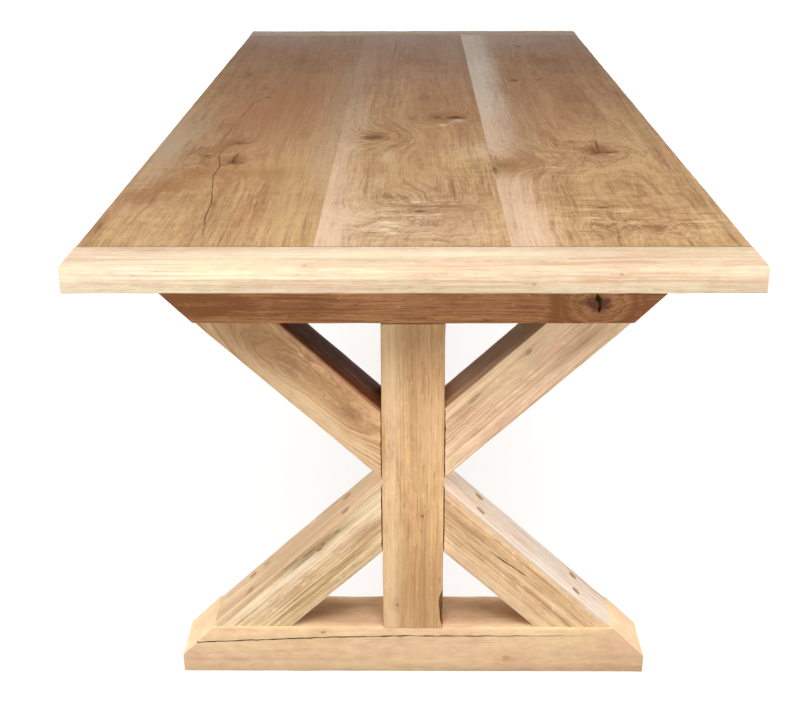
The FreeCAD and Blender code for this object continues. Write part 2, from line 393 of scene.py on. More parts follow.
rose_stain = colour(1.02, 0.965, 0.975)
ochre_stain = colour(0.985, 0.995, 0.925)
cream_curl = colour(0.84, 0.66, 0.45)


def drawn_out(noise_looks, run):
    """The same noise, drawn out along the grain."""
    (along, *across), *others = noise_looks
    return ((along / run, *across), *others)


def oak(
    name,
    lie,
    tone,
    pith,
    knots=(),
    tints=(),
    sapwood=None,
    burrs=(),
    figure=1.0,
    wander=8,
    run=3.0,
    fine=1.0,
):
    """Oiled oak: grain lines about a pith, fibres, pores and knots, all through the timber's depth.

    figure is the strength of the grain, wander how far it strays in millimetres, run how far its
    marks are drawn out, and fine how far its thin lines outweigh its bands.
    """
    finish = Finish(name, satin)
    place = finish.add("TexCoord", {}, {}, "Object")
    seat = {"Vector": place, "Location": lie.middle, "Rotation": lie.turn.to_euler()}
    local = finish.add("Mapping", {"vector_type": "TEXTURE"}, seat)
    along = finish.add("SeparateXYZ", {}, {"Vector": local})
    across = along.other("Y")
    inward = along.other("Z")

    # Noise runs from 0 to 1, so 0.5 is its middle
    slow = finish.cloud(local, *slow_noise)
    quick = finish.cloud(local, *quick_noise)
    patch = finish.cloud(local, *patch_noise)
    blush = finish.cloud(local, *blush_noise)
    mottle = finish.cloud(local, *mottle_noise)
    grit = finish.cloud(local, *grit_noise)
    grain = across + (slow - 0.5) * (wander * slow_stray * mm)
    grain = grain + (quick - 0.5) * (wander * quick_stray * mm)
    swirl = 0.0
    curl = 1.0
    core = 0.0
    halo = 0.0
    for knot in knots:
        spot = lie.local(knot.place)
        below = (inward - spot.z) / knot.depth
        reach = knot.reach(lie, along, across) + below * below
        near = finish.maths("EXPONENT", reach / -knot_spread ** 2)
        grain = grain - (across - spot.y) * near * (knot_pull * min(1.0, knot.swirl))
        turned = knot_turn * knot.swirl + (quick - 0.5) * knot_waver + (mottle - 0.5) * knot_tremor
        swirl = swirl + near * turned * knot.width
        curl = curl + near * min(most_curl, knot.swirl) * knot.curl
        ragged = reach + (quick - 0.5) * knot_ragged + (grit - 0.5) * knot_ragged
        core = core + (1 - ragged.smooth(*knot_step)) * knot.dark
        halo = halo + near * knot.dark

    ring_y = grain - pith[0] * mm
    ring_z = inward - pith[1] * mm
    radius = finish.maths("SQRT", ring_y * ring_y + ring_z * ring_z) + swirl + along * ring_taper
    rings = finish.vector(along, radius, 0.0)
    bands = finish.cloud(rings, *band_noise)
    lines = finish.cloud(rings, *drawn_out(line_noise, run))

    thread = finish.vector(along, grain + swirl * thread_swirl, inward)
    fibre = finish.cloud(thread, *drawn_out(fibre_noise, run))
    streak = finish.cloud(thread, *drawn_out(streak_noise, run))
    hair = finish.cloud(thread, *hair_noise)
    on_lines = lines.smooth(*pore_line_step)
    pores = hair.smooth(*pore_step) * (off_line_pores + on_lines * (1 - off_line_pores))
    ticks = finish.cloud(thread, *tick_noise).smooth(*tick_step)
    veins = lines.smooth(*vein_line_step) * streak.smooth(*vein_streak_step)
    fleck = finish.cloud(thread, *fleck_noise).smooth(*fleck_step)

    ringed = (bands - 0.5) * (1 / fine) + (lines - 0.5) * (line_weight * fine) + veins * vein_weight
    shade = ringed * curl + (streak - 0.5) * streak_weight + (fibre - 0.5) * fibre_weight
    shade = shade + pores * pore_weight + ticks * tick_weight - fleck * fleck_weight
    shade = mean_shade + shade * figure + (patch - 0.5) * patch_weight + (mottle - 0.5) * mottle_weight
    if burrs:
        wild = 0.0
        for burred in burrs:
            reach = burred.reach(lie, along, across) + (quick - 0.5) * burr_ragged
            wild = wild + finish.maths("EXPONENT", reach * -1.0) * burred.strength
        bent_along = along + swirl * stroke_swirl + (quick - 0.5) * stroke_stray
        strokes = finish.cloud(finish.vector(bent_along, across, inward), *stroke_noise)
        shade = shade + (strokes - 0.5) * (wild * wild_stroke_weight + stroke_weight)
    wood = finish.ramp(shade, (0.0, tone.light), (1.0, tone.deep))
    if burrs:
        pale_strokes = (1 - strokes.smooth(*pale_curl_step)) * wild * pale_curl_share
        wood = finish.mix(pale_strokes, wood, cream_curl)
        dark_strokes = strokes.smooth(*dark_curl_step) * wild * dark_curl_share
        wood = finish.mix(dark_strokes, wood, tone.knot)
    wood = finish.stain(blush.smooth(*rose_step), wood, rose_stain)
    wood = finish.stain(1 - blush.smooth(*ochre_step), wood, ochre_stain)

    def lay(wood, tint):
        strayed = (patch - 0.5) * tint_patch + (mottle - 0.5) * tint_mottle
        reach = tint.reach(lie, along, across) + strayed
        if tint.hue[1] < tone.middle[1]:
            soaked = dark_soak + shade * dark_soak_gain
        else:
            soaked = pale_soak - shade * pale_soak_loss
        share = finish.maths("EXPONENT", reach * -1.0) * soaked * tint.share
        return finish.mix(finish.maths("MINIMUM", share, 1.0), wood, tint.hue)

    for tint in tints:
        if not tint.over:
            wood = lay(wood, tint)
    if sapwood is not None:
        local_seam = lie.local(Vector((sapwood.seam, 0, 0))).y
        wood = sapwood(finish, wood, local_seam, along, across, quick, shade)
    for tint in tints:
        if tint.over:
            wood = lay(wood, tint)
    if knots:
        wood = finish.mix(finish.maths("MINIMUM", halo * halo_share, most_halo), wood, tone.knot)
        wood = finish.mix(finish.maths("MINIMUM", core, most_core), wood, tone.heart)
    finish.set("Base Color", wood)
    sheen = satin + (lines - 0.5) * line_sheen + (fibre - 0.5) * fibre_sheen + pores * pore_sheen
    finish.set("Roughness", sheen)
    finish.set("Specular IOR Level", top_specular if burrs else base_specular)
    hollows = pores * pore_height + lines * line_height + core * knot_height
    finish.bump(fibre * fibre_height - hollows, oak_relief, oak_relief_strength)
    return finish.material


old_wood_noise = ((160, 160, 60), 4.0, 0.65)
old_wood_step = (0.35, 0.65)
old_wood_roughness = 0.85
old_wood_specular = 0.08
old_wood_relief = 0.8 * mm
old_wood_relief_strength = 0.6


def old_wood(name, dark, light):
    """Old, rough wood, as inside a drying crack or under bark."""
    finish = Finish(name, old_wood_roughness)
    place = finish.add("TexCoord", {}, {}, "Object")
    grit = finish.cloud(place, *old_wood_noise)
    finish.set("Base Color", finish.mix(grit.smooth(*old_wood_step), colour(*dark), colour(*light)))
    finish.set("Specular IOR Level", old_wood_specular)
    finish.bump(grit, old_wood_relief, old_wood_relief_strength)
    return finish.material


steel_noise = ((160, 160, 160), 3.0)
dark_zinc = colour(0.42, 0.42, 0.41)
light_zinc = colour(0.6, 0.6, 0.58)
steel_roughness = 0.28
bloom_roughness = 0.2


def steel():
    """Bright zinc-plated steel of the hidden screws and washers."""
    finish = Finish("zinc_steel", steel_roughness)
    place = finish.add("TexCoord", {}, {}, "Object")
    bloom = finish.cloud(place, *steel_noise)
    finish.set("Base Color", finish.mix(bloom, dark_zinc, light_zinc))
    finish.set("Metallic", 1.0)
    finish.set("Roughness", steel_roughness + bloom * bloom_roughness)
    return finish.material


# Modelling steps


def only(piece):
    bpy.ops.object.select_all(action="DESELECT")
    piece.select_set(True)
    bpy.context.view_layer.objects.active = piece


def added(name, add, **settings):
    """A new plain shape with a name."""
    bpy.ops.object.select_all(action="DESELECT")
    add(**settings)
    piece = bpy.context.object
    piece.name = name
    piece.data.name = name
    return piece


def settle(piece):
    """Keeps a piece where it is, with its origin at the world's."""
    only(piece)
    bpy.ops.object.transform_apply(location=True, rotation=True, scale=True)


def edit_all(piece, step, **settings):
    """Does one editing step on the whole of a piece."""
    only(piece)
    bpy.ops.object.mode_set(mode="EDIT")
    bpy.ops.mesh.select_all(action="SELECT")
    step(**settings)
    bpy.ops.object.mode_set(mode="OBJECT")


def choose(piece, kind, test):
    """In edit mode, selects the edges or faces that pass a test, and nothing else."""
    bpy.ops.mesh.select_mode(type=kind)
    bpy.ops.mesh.select_all(action="DESELECT")
    mesh = bmesh.from_edit_mesh(piece.data)
    elements = mesh.edges if kind == "EDGE" else mesh.faces
    for element in elements:
        if test(element):
            element.select_set(True)
    bmesh.update_edit_mesh(piece.data)


def runs_along(axis, longer_than=0.0):
    """Test for edges that run along an axis and are longer than a length."""

    def test(edge):
        run = edge.verts[1].co - edge.verts[0].co
        length = run.length
        return length > longer_than and abs(run[axis]) > straight * length

    return test


def apply_modifier(piece, kind, **settings):
    only(piece)
    modifier = piece.modifiers.new(kind.lower(), kind)
    for key, value in settings.items():
        setattr(modifier, key, value)
    bpy.ops.object.modifier_apply(modifier=modifier.name)


def rough_texture(name, size):
    texture = bpy.data.textures.new(name, "CLOUDS")
    texture.noise_scale = size
    texture.noise_depth = 2
    return texture


planing_marks = rough_texture("planing_marks", planing_mark_size)
arris_marks = rough_texture("arris_marks", arris_mark_size)


def timber(name, lie, size, eases):
    """A sawn and planed timber with eased long arrises, cut into short lengths and worn.

    eases gives the ease of the four long edges by the signs of their place across and through.
    """
    piece = added(name, bpy.ops.mesh.primitive_cube_add, size=1)
    piece.scale = size
    bpy.ops.object.transform_apply(location=False, rotation=False, scale=True)
    bpy.ops.object.mode_set(mode="EDIT")
    for (side, through), ease in eases.items():

        def at_corner(edge):
            middle = (edge.verts[0].co + edge.verts[1].co) / 2
            beside = middle.y * side > size[1] / 2 - touching
            over = middle.z * through > size[2] / 2 - touching
            return beside and over and runs_along(0)(edge)

        choose(piece, "EDGE", at_corner)
        bpy.ops.mesh.bevel(offset=ease, segments=2, profile=0.5, affect="EDGES")
    for axis in range(3):
        cuts = min(most_slices, round(size[axis] / slice_length) - 1)
        if cuts > 0:
            choose(piece, "EDGE", runs_along(axis, size[axis] / 2))
            bpy.ops.mesh.subdivide(number_cuts=cuts)
    bpy.ops.object.mode_set(mode="OBJECT")
    planed = piece.vertex_groups.new(name="planed")
    planed.add(range(len(piece.data.vertices)), 1.0, "REPLACE")
    worn = piece.vertex_groups.new(name="arris")
    for (side, through), ease in eases.items():
        near_corner = []
        for vertex in piece.data.vertices:
            beside = vertex.co.y * side > size[1] / 2 - ease * arris_reach
            over = vertex.co.z * through > size[2] / 2 - ease * arris_reach
            if beside and over:
                near_corner.append(vertex.index)
        for group in (planed, worn):
            group.add(near_corner, min(1.0, ease / arris), "REPLACE")
    piece.matrix_world = lie.matrix()
    settle(piece)
    for group, texture, wear, level in (
        ("planed", planing_marks, hand_planed, 0.0),
        ("arris", arris_marks, arris_wear, arris_wear_level),
    ):
        apply_modifier(
            piece,
            "DISPLACE",
            texture=texture,
            texture_coords="LOCAL",
            strength=-wear,
            mid_level=level,
            vertex_group=group,
        )
    return piece


def even_eases(ease):
    return {(side, through): ease for side in (-1, 1) for through in (-1, 1)}


def trim(piece, point, outward):
    """Saws a piece off square to a direction and closes the cut."""
    plane = {"plane_co": point, "plane_no": outward}
    edit_all(piece, bpy.ops.mesh.bisect, use_fill=True, clear_outer=True, **plane)


spoiling_cut = 1.5


def volume(piece):
    mesh = bmesh.new()
    mesh.from_mesh(piece.data)
    size = mesh.calc_volume()
    mesh.free()
    return size


def cut_with(piece, tool, shade):
    """Takes a tool's shape out of a piece; the cut shows the tool's own finish.

    A cut that would take away more than the tool is undone.
    """
    least = volume(piece) - spoiling_cut * volume(tool)
    uncut = piece.data.copy()
    tool.data.materials.append(shade)
    settings = {"object": tool, "solver": "EXACT", "material_mode": "TRANSFER"}
    apply_modifier(piece, "BOOLEAN", operation="DIFFERENCE", **settings)
    bpy.data.objects.remove(tool)
    if volume(piece) < least:
        print("cut undone on", piece.name)
        piece.data = uncut


def rod(name, diameter, start, end, sides=32):
    """A round rod from start to end."""
    round_bar = {"vertices": sides, "radius": diameter / 2, "depth": (end - start).length}
    piece = added(name, bpy.ops.mesh.primitive_cylinder_add, **round_bar)
    turn = UP.rotation_difference(end - start).to_matrix().to_4x4()
    piece.matrix_world = Matrix.Translation((start + end) / 2) @ turn
    settle(piece)
    return piece


def drill(piece, diameter, start, end, shade):
    cut_with(piece, rod("drill", diameter, start, end), shade)


# Drying cracks, whose width, depth and lift are in millimetres
crack_step = 9 * mm
crack_fade = 3.5
crack_rough = 0.8
crack_rough_sway = 0.7
crack_rough_scale = 120
crack_least_half = 0.12 * mm
crack_least_depth = 0.5 * mm
crack_lift = 0.6
sway_scale = 70
tremor_scale = 300
tremor_share = 0.5


def jagged(points, step, sway):
    """A line through points with more points along it, pushed aside like a drying crack."""
    line = []
    for start, end in zip(points, points[1:]):
        count = max(1, round((end - start).length / step))
        for number in range(count):
            line.append(start.lerp(end, number / count))
    line.append(points[-1])
    swayed = [line[0]]
    for point in line[1:-1]:
        swung = noise.noise_vector(point * sway_scale) * sway
        tremor = noise.noise_vector(point * tremor_scale) * sway * tremor_share
        swayed.append(point + swung + tremor)
    return swayed + [line[-1]]


def crack(piece, points, facing, width, depth, shade, sway=1.6, open_start=False):
    """Cuts a drying crack into a face: a wedge along a jagged line, thin at its ends."""
    line = jagged(points, crack_step, sway * mm)
    last = len(line) - 1
    places = []
    for number, point in enumerate(line):
        before = line[max(0, number - 1)]
        after = line[min(last, number + 1)]
        aside = facing.cross(after - before).normalized()
        fade = min(1.0, crack_fade * (last - number) / last)
        if not open_start:
            fade = min(fade, crack_fade * number / last)
        rough = crack_rough + crack_rough_sway * noise.noise(point * crack_rough_scale)
        half = max(crack_least_half, width * mm * fade * rough / 2)
        flat = point - facing * (facing.dot(point - points[0]))
        places.append(flat + aside * half + facing * crack_lift * mm)
        places.append(flat - aside * half + facing * crack_lift * mm)
        places.append(flat - facing * max(crack_least_depth, depth * mm * fade))
    faces = [(0, 1, 2), (3 * last, 3 * last + 2, 3 * last + 1)]
    for number in range(last):
        here = 3 * number
        ahead = here + 3
        for first, second in ((0, 1), (1, 2), (2, 0)):
            faces.append((here + second, here + first, ahead + first, ahead + second))
    mesh = bpy.data.meshes.new("crack_tool")
    mesh.from_pydata(places, [], faces)
    tool = bpy.data.objects.new("crack_tool", mesh)
    bpy.context.scene.collection.objects.link(tool)
    edit_all(tool, bpy.ops.mesh.normals_make_consistent, inside=False)
    cut_with(piece, tool, shade)


def wane(piece, place, radii, shade):
    """Scoops a hollow of old bark edge out of an arris."""
    ball = {"subdivisions": 4, "radius": 1, "location": place}
    tool = added("wane_tool", bpy.ops.mesh.primitive_ico_sphere_add, **ball)
    tool.scale = radii
    settle(tool)
    lumps = {"texture": arris_marks, "texture_coords": "LOCAL", "strength": wane_lumps, "mid_level": 0.5}
    apply_modifier(tool, "DISPLACE", **lumps)
    cut_with(piece, tool, shade)


rear_names = []


def complete(piece, slot, *nodes):
    """Smooths a finished piece and puts it in place of its solids."""
    only(piece)
    bpy.ops.object.shade_smooth_by_angle(angle=smooth_below)
    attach(piece, "root")
    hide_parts(*nodes)
    if any("rear" in node for node in nodes):
        rear_names.append(piece.name)


def on_top(x, y):
    """A place on the tabletop, from millimetres right of and behind its middle."""
    return Vector((x * mm, y * mm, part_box("top_plank_left")[1].z))


def on_front(x, z):
    """A place on the near face of the near trestle, from millimetres right and up."""
    return Vector((x * mm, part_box("front_post")[0].y, z * mm))


def line_on(where, places):
    return [where(*place) for place in places]


def placed(kind, where, rows):
    """Marks from rows of two measures of place, then looks."""
    return [kind(where(x, other), *looks) for x, other, *looks in rows]


# Tones, in linear light

plank_tone = Tone(
    (0.67, 0.435, 0.225), (0.52, 0.306, 0.142), (0.29, 0.144, 0.056), (0.26, 0.115, 0.042)
)
base_tone = Tone((0.84, 0.58, 0.34), (0.69, 0.445, 0.238), (0.42, 0.235, 0.108), (0.36, 0.2, 0.1))
post_tone = base_tone.toward(1.05, 0.98, 0.87)
# The beams' darker, redder tone: partly their own wood, partly painted shade under the tabletop's overhang
beam_shaded_tone = base_tone.toward(0.62, 0.425, 0.315)
foot_tone = base_tone.toward(1.1, 1.13, 1.22)
pale_tone = Tone((0.88, 0.73, 0.54), (0.8, 0.635, 0.45), (0.58, 0.4, 0.24), (0.45, 0.29, 0.16))
# The far board: a darker, greyer copy of the near board's tone, with painted light falloff and reflection
# at the far end
far_dimmed_pale_tone = pale_tone.toward(0.83, 0.81, 0.88)
plug_tone = Tone((0.42, 0.26, 0.13), (0.34, 0.195, 0.095), (0.22, 0.115, 0.052), (0.2, 0.1, 0.05))

# Each near brace's tone, strength of grain and fineness
brace_looks = {
    "front_brace_upper_left": (base_tone.toward(1.02, 0.95, 0.87), 0.9, 1.8),
    "front_brace_upper_right": (base_tone.toward(1.18, 1.22, 1.4), 0.8, 1.4),
    "front_brace_lower_left": (base_tone.toward(1.09, 1.18, 1.25), 1.1, 1.3),
    "front_brace_lower_right": (base_tone.toward(1.05, 1.06, 1.08), 1.0, 1.0),
}
plain_looks = (base_tone, 1.0, 1.0)

# Hues of tints
rosy_brown = (0.42, 0.2, 0.098)
# Darker far end of the planks: partly their own tone, partly painted light falloff away from the lamps
far_falloff_brown = (0.365, 0.205, 0.155)
far_falloff_rose = (0.41, 0.25, 0.215)
# Paler, greyer far end of the planks: painted reflection of the bright room at a grazing angle
painted_far_reflection = (0.58, 0.44, 0.375)
seam_rose = (0.48, 0.325, 0.215)
grey_edge = (0.5, 0.36, 0.235)
golden = (0.56, 0.35, 0.155)
pale_rose = (0.62, 0.44, 0.29)
shadow_brown = (0.34, 0.16, 0.058)
pale_strip = (0.86, 0.62, 0.38)
brown_figure = (0.38, 0.2, 0.088)
cream_band = (0.85, 0.7, 0.51)
olive_streak = (0.22, 0.16, 0.06)
olive_brown = (0.42, 0.28, 0.12)
olive_line = (0.3, 0.19, 0.07)
# Painted shade at the top of the upper left brace, under the beam
painted_shade_brown = (0.08, 0.024, 0.01)
knot_brown = (0.3, 0.13, 0.052)
star_brown = (0.17, 0.07, 0.023)
amber_brown = (0.5, 0.255, 0.1)
cream_swirl = (0.7, 0.52, 0.33)
cream_stroke = (0.84, 0.66, 0.45)
smudge_brown = (0.33, 0.155, 0.055)
rosy_oak = (0.78, 0.48, 0.29)

# Tints along a brace's sloping faces: half length and half width, then share and hue by side
face_tint = (330, 6)
# Inner faces of the upper braces: on the left, painted shade under the tabletop; on the right, a light pink
# tint
inner_face_shade_and_tint = {-1: (1.0, (0.18, 0.044, 0.011)), 1: (0.2, (0.9, 0.56, 0.32))}
outer_face = {-1: (0.7, (0.36, 0.24, 0.14)), 1: (0.6, (0.54, 0.54, 0.53))}

# Wood inside cracks, hollows and holes
crack_shade = old_wood("crack_wood", (0.05, 0.02, 0.007), (0.13, 0.06, 0.022))
top_crack_shade = old_wood("top_crack_wood", (0.15, 0.06, 0.021), (0.3, 0.14, 0.056))
bark_shade = old_wood("bark_edge_wood", (0.09, 0.038, 0.015), (0.26, 0.125, 0.05))
hole_shade = old_wood("drilled_wood", (0.14, 0.07, 0.033), (0.3, 0.165, 0.08))


# Tabletop


plank_figure = 0.85
plank_run = 1.3
near_end_line = (3, 400, 0.8)
plank_crack_sway = 2.2
sap_stray = 22 * mm
sap_figure = 12 * mm
sap_edge = (-34 * mm, 40 * mm)
sap_full = 1.15
sap_loss = 0.5
sap_turn = (0.15, 0.6)
widest_sap = 100


class Sapwood:
    """Pale sapwood along a seam, as stops of place, width in millimetres and share, from the near end."""

    def __init__(self, seam, near_hue, far_hue, *stops):
        self.seam = seam
        self.near_hue = colour(*near_hue)
        self.far_hue = colour(*far_hue)
        self.stops = stops

    def __call__(self, finish, wood, local_seam, along, across, quick, shade):
        share = along / plank_length + 0.5
        widths = [(place, grey(width / widest_sap)) for place, width, amount in self.stops]
        amounts = [(place, grey(amount)) for place, width, amount in self.stops]
        depth = local_seam - across + (quick - 0.5) * sap_stray + (shade - 0.5) * sap_figure
        edge = depth - finish.ramp(share, *widths) * (widest_sap * mm)
        amount = finish.ramp(share, *amounts)
        mask = (1 - edge.smooth(*sap_edge)) * amount * (sap_full - shade * sap_loss)
        hue = finish.mix(share.smooth(*sap_turn), self.near_hue, self.far_hue)
        return finish.mix(mask, wood, hue)


plank_end = -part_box("breadboard_front")[1].y
plank_length = 2 * plank_end


def plank(name, pith, knots, tints, burrs, sapwood):
    low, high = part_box(f"top_plank_{name}")
    low.y, high.y = -plank_end, plank_end
    size = high - low
    lie = Lie((low + high) / 2, BACK, -RIGHT)
    left = outer_ease if name == "left" else seam_ease
    right = outer_ease if name == "right" else seam_ease
    eases = {(1, 1): left, (1, -1): left, (-1, 1): right, (-1, -1): right}
    piece = timber(f"plank_{name}", lie, (size.y, size.x, size.z), eases)
    patches = placed(Tint, on_top, tints)
    near_end = Vector(((low.x + high.x) / 2, low.y, high.z))
    patches.append(Tint(near_end, *near_end_line, shadow_brown, True))
    finish = oak(
        f"oak_plank_{name}",
        lie,
        plank_tone,
        pith,
        placed(Knot, on_top, knots),
        patches,
        sapwood,
        placed(Burr, on_top, burrs),
        plank_figure,
        run=plank_run,
    )
    piece.data.materials.append(finish)
    return piece


left_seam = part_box("top_plank_middle")[0].x
right_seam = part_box("top_plank_middle")[1].x

# Knots as x, y, half length along the plank, half width, darkness and turn of the grain
left_knots = (
    (-336, -560, 20, 11, 0.5, 1.6),
    (-338, -550, 44, 26, 0.2, 1.0),
    (-389, -513, 16, 8, 0.6, 0.8),
    (-343, -402, 16, 9, 0.7, 0.8),
    (-353, 205, 20, 8, 0.5, 0.8),
    (-418, 396, 20, 7, 0.4, 0.6),
    (-337, 83, 12, 10, 0.5, 0.6),
)
middle_knots = (
    (-78, -352, 30, 24, 0.85, 2.2),
    (53, -149, 18, 13, 0.8, 1.2),
    (90, -153, 18, 20, 0.8, 1.4),
    (-62, -940, 24, 20, 0.05, 2.4),
    (14, -906, 7, 13, 0.7, 2.4),
    (63, -882, 6, 24, 0.5, 1.8),
    (30, -985, 26, 20, 0.05, 2.0),
    (-20, -830, 30, 16, 0.05, 1.6),
)
right_knots = (
    (147, -632, 30, 9, 0.8, 0.6),
    (200, -560, 30, 30, 0.12, 1.6),
    (354, -482, 20, 15, 0.45, 1.6),
    (352, -470, 50, 34, 0.16, 1.2),
    (308, -884, 9, 11, 0.75, 0.7),
    (253, 307, 14, 10, 0.75, 0.8),
    (313, 312, 12, 8, 0.7, 0.7),
    (306, 865, 16, 10, 0.5, 0.6),
    (350, -1005, 10, 26, 0.12, 0.8),
)
near_sap = (0.77, 0.54, 0.37)
left_sap = Sapwood(
    left_seam,
    near_sap,
    (0.53, 0.385, 0.275),
    (0, 44, 0.9),
    (0.19, 40, 0.74),
    (0.28, 34, 0.55),
    (0.38, 40, 0.68),
    (0.7, 38, 0.42),
    (1, 38, 0.3),
)
right_sap = Sapwood(
    right_seam,
    near_sap,
    (0.81, 0.7, 0.58),
    (0, 62, 0.9),
    (0.18, 48, 0.82),
    (0.21, 38, 0.3),
    (0.26, 36, 0.3),
    (0.29, 40, 0.52),
    (0.42, 50, 0.62),
    (0.7, 58, 0.78),
    (1, 64, 0.85),
)

# Tints as x, y, half length along the plank, half width, share, hue, and True for one over sapwood
left_tints = (
    # Darker far end: partly tone, partly painted light falloff
    (-300, 1000, 900, 400, 0.6, far_falloff_brown),
    (-290, -60, 500, 140, 0.85, rosy_brown),
    (-470, -380, 340, 50, 0.75, grey_edge),
    (-460, -812, 44, 30, 0.85, shadow_brown),
    (-423, -738, 50, 32, 0.85, shadow_brown),
    (-385, -665, 50, 30, 0.75, shadow_brown),
    (-265, -650, 36, 80, 0.65, shadow_brown),
    (-340, -556, 50, 30, 0.55, knot_brown),
    (-345, -405, 22, 20, 0.5, knot_brown),
    (-322, -540, 34, 14, 0.5, knot_brown),
    (-316, -594, 5, 6, 0.5, cream_swirl),
    (-350, -608, 5, 5, 0.4, cream_swirl),
    (-336, -563, 12, 6, 0.9, star_brown),
    (-347, -586, 6, 9, 0.6, star_brown),
    (-322, -567, 6, 12, 0.75, star_brown),
    (-326, -586, 7, 4, 0.7, star_brown),
    (-334, -512, 34, 4, 0.7, star_brown),
    (-388, -509, 6, 12, 0.7, star_brown),
    (-338, -404, 6, 16, 0.6, star_brown),
    (-330, -600, 150, 90, 0.3, amber_brown),
    (-190, -780, 330, 60, 0.5, golden),
    (-160, -500, 260, 34, 0.35, pale_rose),
    (-150, 300, 700, 50, 0.55, seam_rose),
    # Painted reflection at the far end
    (-300, 1180, 260, 500, 0.7, painted_far_reflection),
)
middle_tints = (
    # Darker far end: partly tone, partly painted light falloff
    (0, 1000, 900, 400, 0.6, far_falloff_rose),
    (70, -90, 330, 110, 0.6, rosy_brown),
    (0, -960, 170, 110, 0.5, pale_rose),
    (-60, -560, 160, 70, 0.35, golden),
    (-118, -440, 55, 14, 0.5, cream_swirl),
    (-50, -520, 70, 12, 0.55, cream_swirl),
    (-62, -730, 80, 12, 0.45, cream_swirl),
    (-84, -930, 26, 26, 0.5, cream_swirl),
    (-30, -985, 22, 40, 0.45, cream_swirl),
    (40, -935, 14, 60, 0.4, shadow_brown),
    (25, -877, 6, 50, 0.75, knot_brown),
    (60, -868, 4, 22, 0.6, knot_brown),
    (8, -850, 5, 14, 0.7, cream_stroke),
    (38, -861, 4, 10, 0.7, cream_stroke),
    (2, -929, 5, 14, 0.65, cream_stroke),
    (40, -926, 4, 12, 0.7, cream_stroke),
    (-42, -898, 4, 18, 0.7, cream_stroke),
    (-38, -972, 5, 12, 0.65, cream_stroke),
    (-28, -990, 5, 11, 0.65, cream_stroke),
    (-46, -1010, 6, 13, 0.65, cream_stroke),
    (-32, -1032, 6, 12, 0.6, cream_stroke),
    (98, -186, 16, 12, 0.7, cream_stroke),
    (84, -208, 12, 8, 0.6, cream_stroke),
    (62, -232, 10, 9, 0.6, cream_stroke),
    (50, -195, 26, 18, 0.5, olive_brown),
    (125, -480, 70, 26, 0.55, cream_swirl),
    (110, 800, 400, 40, 0.5, seam_rose),
    # Painted reflection at the far end
    (0, 1180, 260, 500, 0.7, painted_far_reflection),
)
right_tints = (
    # Darker far end: partly tone, partly painted light falloff
    (330, 1000, 950, 400, 0.6, far_falloff_brown),
    (300, -50, 420, 140, 0.5, rosy_brown),
    (350, -780, 160, 120, 0.3, golden),
    (352, -500, 70, 50, 0.5, rosy_brown),
    (352, -462, 44, 26, 0.7, knot_brown),
    (372, -482, 16, 26, 0.5, knot_brown),
    (378, -506, 5, 6, 0.7, cream_swirl),
    (332, -430, 6, 5, 0.5, cream_swirl),
    (338, -503, 8, 8, 0.5, star_brown),
    (352, -493, 13, 9, 0.85, star_brown),
    (365, -485, 9, 9, 0.7, star_brown),
    (379, -488, 7, 9, 0.75, star_brown),
    (391, -480, 7, 8, 0.5, star_brown),
    (361, -425, 40, 3, 0.6, star_brown),
    (346, -460, 18, 4, 0.6, star_brown),
    (369, -452, 18, 4, 0.5, star_brown),
    (200, -200, 420, 50, 0.4, seam_rose),
    (178, -600, 62, 34, 0.85, smudge_brown, True),
    (215, -545, 34, 26, 0.6, rosy_brown, True),
    # Painted reflection at the far end
    (330, 1180, 300, 500, 0.8, painted_far_reflection),
)

# Curly patches as x, y, half length along the plank, half width and strength
left_burrs = ((-345, -545, 80, 60, 0.6), (-430, -700, 90, 60, 0.4), (-340, 140, 130, 60, 0.3))
middle_burrs = (
    (10, -915, 90, 85, 1.0),
    (-70, -985, 70, 50, 1.0),
    (60, -1050, 40, 90, 0.6),
    (-75, -365, 70, 60, 0.8),
    (75, -165, 60, 60, 0.7),
    (100, -560, 120, 50, 0.35),
)
right_burrs = (
    (350, -480, 80, 60, 0.7),
    (230, -600, 80, 60, 0.5),
    (310, -930, 120, 80, 0.7),
    (420, -960, 90, 60, 0.6),
    (360, -760, 120, 90, 0.4),
)
left_pith = (60, -95)
middle_pith = (-25, -70)
right_pith = (-40, -120)
left_plank = plank("left", left_pith, left_knots, left_tints, left_burrs, None)
middle_plank = plank("middle", middle_pith, middle_knots, middle_tints, middle_burrs, left_sap)
right_plank = plank("right", right_pith, right_knots, right_tints, right_burrs, right_sap)

# Drying cracks as width, depth and points of x and y
left_crack_bend = ((-343, -783), (-356, -675))
left_crack_end = ((-365, -439), (-382, -393))
left_cracks = (
    (2.8, 2, (-311, -1102), (-313, -1077), (-323, -1012), (-331, -926), (-333, -850), *left_crack_bend),
    (3.2, 2, (-333, -850), *left_crack_bend, (-355, -603), (-357, -580), (-370, -508), *left_crack_end),
    (2.2, 2, (-367, -450), (-382, -393), (-380, -339), (-377, -268), (-372, -180)),
    (2.8, 3, (-322, -556), (-336, -562), (-344, -586), (-360, -594)),
    (2.6, 3, (-334, -580), (-338, -527), (-331, -480)),
    (2.4, 3, (-346, -560), (-335, -566), (-325, -562), (-308, -572)),
    (2.4, 3, (-343, -533), (-333, -568), (-322, -594)),
    (2.2, 3, (-400, -502), (-386, -512), (-374, -508)),
    (2.2, 3, (-358, -394), (-342, -404), (-318, -409)),
    (1.4, 2, (-321, -412), (-318, -367), (-314, -310)),
    (2.6, 3, (-366, -85), (-363, 21), (-347, 79), (-336, 88)),
    (1.6, 3, (-378, -190), (-370, -120), (-364, -40)),
    (1.6, 3, (-340, 88), (-330, 170), (-336, 260)),
)
